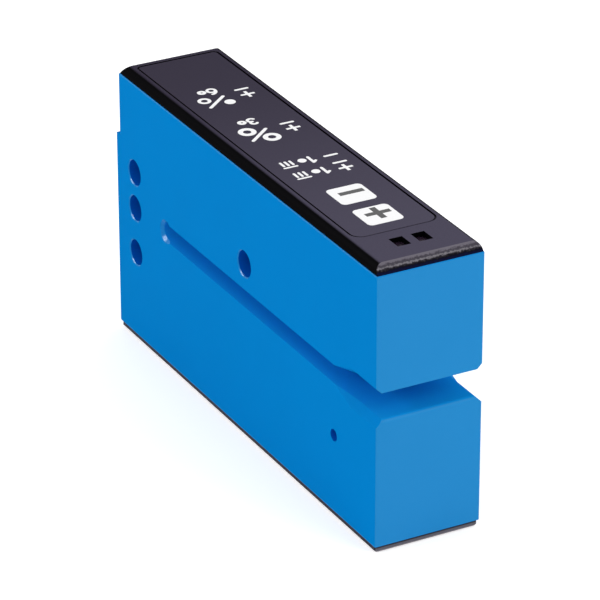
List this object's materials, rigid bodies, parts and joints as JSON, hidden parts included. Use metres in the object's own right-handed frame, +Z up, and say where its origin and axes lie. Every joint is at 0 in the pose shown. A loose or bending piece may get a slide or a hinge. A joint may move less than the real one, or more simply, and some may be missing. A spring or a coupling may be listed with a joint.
{
  "type": "fork sensor",
  "caption": "Label fork sensor: blue aluminium fork with a narrow deep slot, black top cover with key foil and indicator windows, side mounting holes and a round threaded plug.",
  "frame": {"origin": "middle of the bounding box at its bottom, on the underside of the bottom plate", "axes": "+X out of the fork's mouth, +Z up to the top cover, +Y across the arms"},
  "size_m": [0.0926, 0.018, 0.0475],
  "materials": {
    "housing_paint": "satin blue paint",
    "cover_plastic": "fine grained black",
    "key_foil": "fine textured dark grey with pale print",
    "plate_plastic": "black",
    "seal_rubber": "matt black",
    "plug_metal": "nickel plated",
    "carrier_plastic": "black",
    "contact_gold": "gold plated",
    "circuit_board": "green lacquer",
    "wire_sheath": "grey sheath",
    "capsule_metal": "satin",
    "switch_plastic": "dark grey",
    "stem_plastic": "ivory",
    "led_lens": "milky lens",
    "window_tint": "dark tinted",
    "chip_black": "black",
    "potted_block": "brown potting"
  },
  "bodies": {
    "sensor_body": {"fork_housing": "housing_paint", "fork_upper_arm": "housing_paint", "fork_lower_arm": "housing_paint", "top_cover": "cover_plastic", "cover_seal": "seal_rubber", "keypad_overlay": "key_foil", "bottom_plate": "plate_plastic", "plate_seal": "seal_rubber", "connector_shell": "plug_metal", "connector_insert": "carrier_plastic", "connector_o_ring": "seal_rubber", "connector_board": "circuit_board", "contact_pin_1": "contact_gold", "contact_pin_2": "contact_gold", "contact_pin_3": "contact_gold", "contact_pin_4": "contact_gold", "main_board": "circuit_board", "lower_board": "circuit_board", "link_cable": "wire_sheath", "receiver_capsule": "capsule_metal", "receiver_sleeve": "seal_rubber", "transmitter_capsule": "capsule_metal", "transmitter_sleeve": "seal_rubber", "minus_switch_body": "switch_plastic", "plus_switch_body": "switch_plastic", "status_led_1": "led_lens", "status_led_2": "led_lens", "light_pipe_1": "window_tint", "light_pipe_2": "window_tint", "controller_chip": "chip_black", "output_driver": "chip_black", "drive_transformer": "potted_block"},
    "minus_key": {"minus_switch_stem": "stem_plastic"},
    "plus_key": {"plus_switch_stem": "stem_plastic"}
  },
  "joints": [
    {"name": "minus_key_press", "type": "slide", "parent": "sensor_body", "child": "minus_key", "axis": [0, 0, -1], "range_m": [0, 0.00025], "stiffness_N_per_m": 6400},
    {"name": "plus_key_press", "type": "slide", "parent": "sensor_body", "child": "plus_key", "axis": [0, 0, -1], "range_m": [0, 0.00025], "stiffness_N_per_m": 6400}
  ]
}
